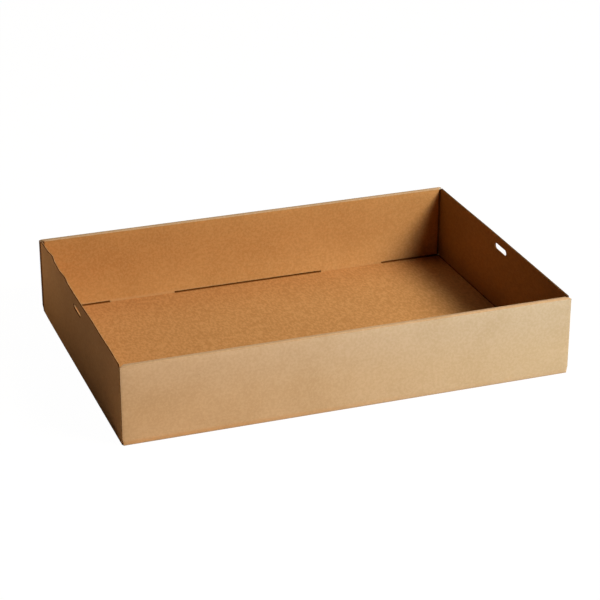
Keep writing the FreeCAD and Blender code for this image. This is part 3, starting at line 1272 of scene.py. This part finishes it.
@dataclass
class EndWall(Wall):
    """A single end wall with its hand hole and its two corner flaps."""

    bow: Curve
    rim_wave: Curve | None = None
    hole_sag: float = 0.0
    column: float = 4.0 * MM
    row: float = 8.0 * MM
    round_steps: int = 6
    ripple_bend: float = 0.6
    fluting_drop: float = 0.12 * MM

    def hole_stops(self) -> list[float]:
        """Finds the places along the wall that follow the round ends of the hole.

        Returns:
            The places.
        """
        tray = self.tray
        turns = [QUARTER_TURN * index / self.round_steps for index in range(self.round_steps + 1)]
        stops = [tray.hole_half + tray.hole_radius * math.sin(turn) for turn in turns]
        return [-stop for stop in stops] + stops

    def open_hole(self, bm: bmesh.types.BMesh, extra: float = 0.0) -> None:
        """Slits the sheet at the hole's level and opens the slit to the hole's outline.

        Args:
            bm: the sheet, with a row of edges at the hole's level.
            extra: how much wider the opening is, all round.
        """
        tray = self.tray
        tip = tray.hole_half + tray.hole_radius + TOUCH
        slit = [
            edge for edge in bm.edges
            if all(abs(vert.co.z - tray.hole_level) < TOUCH and abs(vert.co.y) < tip for vert in edge.verts)
        ]
        bmesh.ops.split_edges(bm, edges=slit)
        for vert in bm.verts:
            if abs(vert.co.z - tray.hole_level) > TOUCH or abs(vert.co.y) > tip or not vert.link_faces:
                continue
            levels = [face.calc_center_median().z - tray.hole_level for face in vert.link_faces]
            rise = tray.hole_rise(vert.co.y)
            if all(level > 0 for level in levels):
                vert.co.z += max(rise + extra - self.hole_sag * rise / tray.hole_radius, 0.0)
            elif all(level < 0 for level in levels):
                vert.co.z -= max(rise + extra, 0.0)

    def sheet(self, face: BoardFace) -> bmesh.types.BMesh:
        """Draws one face of the wall with its flaps.

        Args:
            face: the planes that this face follows, where inner is the flaps' plane.

        Returns:
            An open sheet at the positive X side.
        """
        tray = self.tray
        side = face.inner - face.fold_radius
        stops = self.hole_stops() + [-side, -tray.notch_side, 0.0, tray.notch_side, side]
        bm = bmesh.new()
        first = tray.end_face - tray.bend_outside
        start = face.outer - face.fold_radius
        edges = row_of(bm, [Vector((first, y, face.base)) for y in places_through(stops, self.column)])
        if start > first:
            edges = draw_out(bm, edges, Vector((start - first, 0, 0)))
        height = face.base + face.fold_radius
        edges = fold(bm, edges, Vector((start, 0, height)), Vector((0, 1, 0)), -QUARTER_TURN)
        below_hole = tray.hole_level - 2 * tray.hole_radius
        above_hole = tray.hole_level + 1.6 * tray.hole_radius
        levels = evenly(tray.flap_foot, below_hole, self.row)
        for level in (*levels, tray.hole_level, above_hole, tray.flap_head, tray.end_rim):
            edges = draw_out(bm, edges, Vector((0, 0, level - height)))
            height = level
        bm.normal_update()
        centres = [(item, item.calc_center_median()) for item in bm.faces]
        notches = [
            item for item, place in centres
            if place.z > tray.flap_head and abs(place.y) > tray.notch_side
        ]
        bmesh.ops.delete(bm, geom=notches, context="FACES")
        self.draw_flaps(bm, face)
        self.open_hole(bm, 0.0 if face.outer == tray.end_face else -tray.hole_slant)
        return bm

    def draw_flaps(self, bm: bmesh.types.BMesh, face: BoardFace) -> None:
        """Carries the sides of the wall round the corners into the flaps.

        Args:
            bm: the sheet.
            face: the planes that this face follows.
        """
        tray = self.tray
        side = face.inner - face.fold_radius
        for sign in (-1, 1):
            edges = [
                edge for edge in bm.edges
                if all(abs(vert.co.y - sign * side) < TOUCH for vert in edge.verts)
                and all(tray.flap_foot - TOUCH < vert.co.z < tray.flap_head + TOUCH for vert in edge.verts)
            ]
            centre = Vector((face.outer - face.fold_radius, sign * side, 0))
            edges = fold(bm, edges, centre, Vector((0, 0, 1)), sign * QUARTER_TURN)
            flat = centre.x - tray.flap_tip - tray.flap_tip_cut
            edges = draw_out(bm, edges, Vector((-flat, 0, 0)), steps=4)
            edges = draw_out(bm, edges, Vector((-tray.flap_tip_cut, 0, 0)))
            low, high = tray.flap_foot + tray.flap_tip_cut, tray.flap_head - tray.flap_tip_cut
            for vert in {vert for edge in edges for vert in edge.verts}:
                vert.co.z = min(max(vert.co.z, low), high)

    def outwards(self, place: Vector) -> Vector:
        """Points away from the inside of the tray.

        Args:
            place: a place on the wall or a flap.

        Returns:
            The way out there.
        """
        tray = self.tray
        if abs(place.y) > tray.wall_side and place.x < tray.half_length - tray.board:
            return Vector((0, place.y, 0))
        return Vector((1, 0, 0))

    def sheets(self) -> list[bpy.types.Mesh]:
        """Makes the fluting and the two papers, with painted shade on the fold at the back corner and on the
        inner paper's lowest strip.

        Returns:
            The closed sheets of the wall.
        """
        tray = self.tray
        outside = BoardFace(tray.end_face, 0.0, tray.end_rim, tray.flap_back, tray.crushed_fold)
        outer = self.sheet(outside)
        face_towards(outer, self.outwards)
        # Painted shade: the outer paper's fold at the back corner, in the gap behind the back panel's
        # overhang.
        for face in outer.faces:
            place = face.calc_center_median()
            if place.y > tray.notch_side and place.x > tray.half_length - tray.crease:
                face.material_index = Paper.CREASE_AND_SHADE.value
        inside = BoardFace(tray.half_length, tray.board, tray.end_rim, tray.flap_front, tray.crease)
        inner = self.sheet(inside)
        face_towards(inner, lambda place: -self.outwards(place))
        # Painted shade: the inner paper's lowest strip, in the fold at the wall's foot.
        for face in inner.faces:
            low = face.calc_center_median().z < tray.flap_foot
            face.material_index = Paper.CREASE_AND_SHADE.value if low else Paper.INSIDE.value
        return [
            thickened(outer, tray.liner, Paper.OUTSIDE, Paper.CUT_EDGE),
            thickened(inner, tray.end_inner_liner, Paper.OUTSIDE, Paper.CUT_EDGE),
            self.fluting(),
        ]

    def fluting(self) -> bpy.types.Mesh:
        """Makes the wave between the papers, which shows along the top edge and round the hole.

        Returns:
            The wave.
        """
        tray = self.tray
        swing = (tray.board - tray.liner - tray.end_inner_liner - tray.medium) / 2
        middle = tray.end_face - tray.liner - tray.medium / 2 - swing
        bm = bmesh.new()
        low = tray.hole_level - 2.5 * tray.hole_radius
        tip = tray.hole_half + tray.hole_radius
        stops = places_through([-tray.notch_side, -tip, tip, tray.notch_side], FLUTE_PITCH / FLUTE_POINTS)
        waves = [swing * math.sin(2 * math.pi * y / FLUTE_PITCH) for y in stops]
        edges = row_of(bm, [Vector((middle + wave, y, low)) for wave, y in zip(waves, stops)])
        edges = draw_out(bm, edges, Vector((0, 0, tray.hole_level - low)))
        draw_out(bm, edges, Vector((0, 0, tray.end_rim - self.fluting_drop - tray.hole_level)))
        self.open_hole(bm, tray.fluting_setback)
        face_towards(bm, lambda place: Vector((1, 0, 0)))
        return thickened(bm, tray.medium, Paper.FLUTING, Paper.FLUTING)

    def settled(self, place: Vector) -> Vector:
        """Gives the wall its real shape: bowed out, its rim wavy where it is buckled, on its own side.

        Args:
            place: a place on the flat wall.

        Returns:
            Its final place.
        """
        tray = self.tray
        x = place.x + self.bow.at(place.y)
        if self.rim_wave is not None and abs(place.y) < tray.notch_side:
            share = min(max(1.0 - (tray.end_rim - place.z) / tray.ripple_height, 0.0), 1.0)
            bend = self.ripple_bend * share ** 2 + (1.0 - self.ripple_bend) * share
            x -= self.rim_wave.at(tray.outer_face - place.y) * bend
        return Vector((self.side.value * x, place.y, place.z))


@dataclass
class Base:
    """The base, with the slots for the tabs."""

    name: str
    tray: Tray
    finishes: Finishes
    left_bow: Curve
    right_bow: Curve
    step: float = 12.0 * MM
    fold_shade_width: float = 1.0 * MM

    def build(self) -> bpy.types.Object:
        """Makes the base, with painted shade at its end folds and in front of the slits under the long walls.

        Returns:
            The base, placed in the scene.
        """
        tray = self.tray
        near, far = tray.slot_ends
        front, back = tray.slot_sides
        end = tray.end_face - tray.bend_outside
        fold_shade_start = end - self.fold_shade_width
        shaded = tray.half_width - tray.slit_shade
        widths = [shaded, front, back, tray.wall_side, tray.outer_face - tray.bend_outside]
        lengths = [near, far, fold_shade_start, end]
        across = places_through([*widths, 0.0, *(-width for width in widths)], self.step)
        along = places_through([*lengths, *(-length for length in lengths)], self.step)
        bm = bmesh.new()
        edges = row_of(bm, [Vector((along[0], y, tray.board)) for y in across])
        for before, after in zip(along, along[1:]):
            edges = draw_out(bm, edges, Vector((after - before, 0, 0)))
        gone = []
        for face in bm.faces:
            x, y = (abs(part) for part in face.calc_center_median().xy)
            beside_tab = near < x < far
            # Painted shade: faces at the end folds and in the strip in front of the slits take the dark fold
            # paper.
            in_painted_shade = x > fold_shade_start or (y > shaded and not beside_tab)
            face.material_index = Paper.CREASE_AND_SHADE.value if in_painted_shade else Paper.INSIDE.value
            if beside_tab and front < y < back:
                gone.append(face)
        bmesh.ops.delete(bm, geom=gone, context="FACES")
        face_towards(bm, lambda place: Vector((0, 0, 1)))
        sheet = thickened(bm, tray.board, Paper.OUTSIDE, Paper.CUT_EDGE)
        for polygon in sheet.polygons:
            if polygon.normal.z < -0.5:
                polygon.material_index = Paper.OUTSIDE.value
        return joined(self.name, [sheet], self.finishes.build(), self.settled)

    def settled(self, place: Vector) -> Vector:
        """Carries the ends of the base out to the bowed end walls.

        Args:
            place: a place on the flat base.

        Returns:
            Its final place.
        """
        bow = self.right_bow if place.x > 0 else self.left_bow
        share = max(abs(place.x) / self.tray.half_length - 0.5, 0.0) * 2
        return Vector((place.x + math.copysign(bow.at(place.y) * share, place.x), place.y, place.z))


@dataclass(frozen=True)
class Lamp:
    """A soft rectangular lamp that faces the tray."""

    name: str
    direction: Triple
    distance: float
    size: tuple[float, float]
    power: float
    colour: Colour = WHITE

    def build(self, target: Vector) -> None:
        """Adds the lamp to the scene.

        Args:
            target: the place that it faces.
        """
        data = bpy.data.lights.new(self.name, "AREA")
        data.shape = "RECTANGLE"
        data.size, data.size_y = self.size
        data.energy = self.power
        data.color = self.colour
        lamp = bpy.data.objects.new(self.name, data)
        towards = Vector(self.direction).normalized()
        turn = towards.to_track_quat("Z", "Y").to_matrix().to_4x4()
        lamp.matrix_world = Matrix.Translation(target + self.distance * towards) @ turn
        bpy.context.scene.collection.objects.link(lamp)


LAMPS = (
    Lamp("key_lamp", (1.25, -1.35, 1.56), 2.4, (0.92, 0.92), 76.0),
    Lamp("top_lamp", (0.3, 0.9, 2.0), 2.1, (1.2, 1.2), 3.8, (1.0, 0.86, 0.68)),
    Lamp("low_card", (-0.41, 0.26, 0.07), 0.485, (0.2, 0.07), 0.12, (1.0, 0.85, 0.65)),
)


@dataclass(frozen=True)
class Studio:
    """The plain floor, the lamps and the camera."""

    azimuth: float = math.radians(-19.774)
    elevation: float = math.radians(24.237)
    roll: float = math.radians(0.027)
    distance: float = 2.0775
    target: Triple = (0.00757, 0.01059, 0.040)
    lens: float = 122.08
    sensor: float = 36.0
    view_depth: float = 50.0
    lamps: tuple[Lamp, ...] = LAMPS
    ambient: float = 0.007
    floor_half: float = 6.0
    floor_drop: float = 0.05 * MM
    floor_colour: Colour = (0.69, 0.56, 0.44)
    floor_roughness: float = 0.9
    floor_glow: float = 1.03
    floor_glow_share: float = 0.96

    def camera(self) -> None:
        """Puts the camera at the photograph's viewing angle."""
        data = bpy.data.cameras.new("camera")
        data.lens = self.lens
        data.sensor_width = self.sensor
        data.clip_end = self.view_depth
        back = Vector((
            math.sin(self.azimuth) * math.cos(self.elevation),
            -math.cos(self.azimuth) * math.cos(self.elevation),
            math.sin(self.elevation),
        ))
        camera = bpy.data.objects.new("camera", data)
        turn = back.to_track_quat("Z", "Y").to_matrix().to_4x4()
        roll = Matrix.Rotation(self.roll, 4, "Z")
        camera.matrix_world = Matrix.Translation(Vector(self.target) + self.distance * back) @ turn @ roll
        bpy.context.scene.collection.objects.link(camera)
        bpy.context.scene.camera = camera

    def floor(self) -> None:
        """Lays the floor, which is white to the camera and keeps the tray's shadow.

        It lies just under the base, so that the two faces don't share a plane.
        """
        bm = bmesh.new()
        bmesh.ops.create_grid(bm, x_segments=1, y_segments=1, size=self.floor_half)
        bmesh.ops.translate(bm, verts=bm.verts, vec=(0.0, 0.0, -self.floor_drop))
        mesh = bpy.data.meshes.new("floor")
        bm.to_mesh(mesh)
        bm.free()
        floor = bpy.data.objects.new("floor", mesh)
        bpy.context.scene.collection.objects.link(floor)
        material = bpy.data.materials.new("white_floor")
        material.use_nodes = True
        tree = material.node_tree
        shader = tree.nodes["Principled BSDF"]
        shader.inputs["Base Color"].default_value = (*self.floor_colour, 1.0)
        shader.inputs["Roughness"].default_value = self.floor_roughness
        glow = tree.nodes.new("ShaderNodeEmission")
        glow.inputs["Strength"].default_value = self.floor_glow
        mix = tree.nodes.new("ShaderNodeMixShader")
        path = tree.nodes.new("ShaderNodeLightPath")
        part = tree.nodes.new("ShaderNodeMath")
        part.operation = "MULTIPLY"
        part.inputs[1].default_value = self.floor_glow_share
        tree.links.new(path.outputs["Is Camera Ray"], part.inputs[0])
        tree.links.new(part.outputs[0], mix.inputs["Fac"])
        tree.links.new(shader.outputs["BSDF"], mix.inputs[1])
        tree.links.new(glow.outputs["Emission"], mix.inputs[2])
        tree.links.new(mix.outputs["Shader"], tree.nodes["Material Output"].inputs["Surface"])
        mesh.materials.append(material)

    def world(self) -> None:
        """Sets a white background for the camera and a low even light for the tray."""
        world = bpy.data.worlds.new("studio")
        world.use_nodes = True
        tree = world.node_tree
        background = tree.nodes["Background"]
        background.inputs["Color"].default_value = (*WHITE, 1.0)
        path = tree.nodes.new("ShaderNodeLightPath")
        either = tree.nodes.new("ShaderNodeMath")
        either.operation = "MAXIMUM"
        tree.links.new(path.outputs["Is Camera Ray"], either.inputs[0])
        tree.links.new(path.outputs["Is Transmission Ray"], either.inputs[1])
        seen = tree.nodes.new("ShaderNodeMath")
        seen.operation = "MAXIMUM"
        tree.links.new(either.outputs[0], seen.inputs[0])
        seen.inputs[1].default_value = self.ambient
        tree.links.new(seen.outputs[0], background.inputs["Strength"])
        bpy.context.scene.world = world

    def build(self) -> None:
        """Sets up the whole studio."""
        bpy.context.scene.view_settings.view_transform = "Standard"
        self.camera()
        for lamp in self.lamps:
            lamp.build(Vector(self.target))
        self.floor()
        self.world()


def build_long_wall(tray: Tray, name: str, side: Side, left_short: float) -> None:
    """Makes a rolled long wall.

    Args:
        tray: the tray's sizes.
        name: front or back.
        side: the side where it stands.
        left_short: how much shorter its outer panel is at its left end.
    """
    outside = paper(f"{name}_outer_liner", OUTER_TONE, Axis.HEIGHT, 0.25, 0.3, OUTER_SHEEN_WASHES,
                    FOOT_BOUNCE_TONE, FLOOR_REFLECTION_TONE)
    inside = paper(f"{name}_inner_liner", PANEL_TONE, Axis.HEIGHT, 0.45, 0.6, PANEL_LIGHT_WASHES, PANEL_FOOT_LIGHT_TONE)
    crease = paper(f"{name}_crease", RIM_TONE, Axis.HEIGHT, 0.4, 0.4)
    finishes = Finishes.of(name, Axis.HEIGHT, outside, inside, crease)
    RolledWall(f"{name}_wall", tray, side, finishes, left_short).build()


def build_end_walls(tray: Tray) -> None:
    """Makes the buckled left end wall and the straight right one.

    Args:
        tray: the tray's sizes.
    """
    for name, side, bow, wave, sag, tone, washes, cut in (
        ("left", Side.NEAR, LEFT_BOW, RIM_WAVE, 2.0 * MM, INNER_TONE, (), LEFT_CUT_LIT_TONE),
        ("right", Side.FAR, RIGHT_BOW, None, 0.0, RIGHT_INNER_SHADED_TONE, RIGHT_INNER_SHADE_WASHES, RIGHT_CUT_SHADED_TONE),
    ):
        outside = paper(f"{name}_outer_liner", END_OUTER_SHADED_TONE, Axis.DEPTH, 0.35, 0.3)
        inside = paper(f"{name}_inner_liner", tone, Axis.DEPTH, 0.5, 0.6, washes)
        # The end wall's fold paper is painted shade.
        crease = crushed(f"{name}_crease", FOLD_SHADE_TONE, Axis.DEPTH)
        finishes = Finishes.of(name, Axis.DEPTH, outside, inside, crease, cut)
        EndWall(f"{name}_end_wall", tray, side, finishes, bow, wave, sag).build()


def build_base(tray: Tray) -> None:
    """Makes the base.

    Args:
        tray: the tray's sizes.
    """
    outside = paper("base_outer_liner", OUTER_TONE, Axis.DEPTH, 0.25, 0.3)
    inside = paper("base_inner_liner", BASE_TONE, Axis.DEPTH, 0.8, 0.6, BASE_LIGHT_AND_SHADE_WASHES)
    # The base's fold paper is painted shade.
    crease = crushed("base_fold_shade", FOLD_SHADE_TONE, Axis.DEPTH)
    finishes = Finishes.of("base", Axis.DEPTH, outside, inside, crease)
    Base("base_board", tray, finishes, LEFT_BOW, RIGHT_BOW).build()


def main() -> None:
    """Builds the tray and its studio."""
    logging.basicConfig(level=logging.INFO)
    tray = Tray.from_box(*CAD_BOX)
    build_long_wall(tray, "front", Side.NEAR, 0.35 * MM)
    build_long_wall(tray, "back", Side.FAR, 0.0)
    build_end_walls(tray)
    build_base(tray)
    Studio().build()
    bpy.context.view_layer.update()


if __name__ == "__main__":
    main()
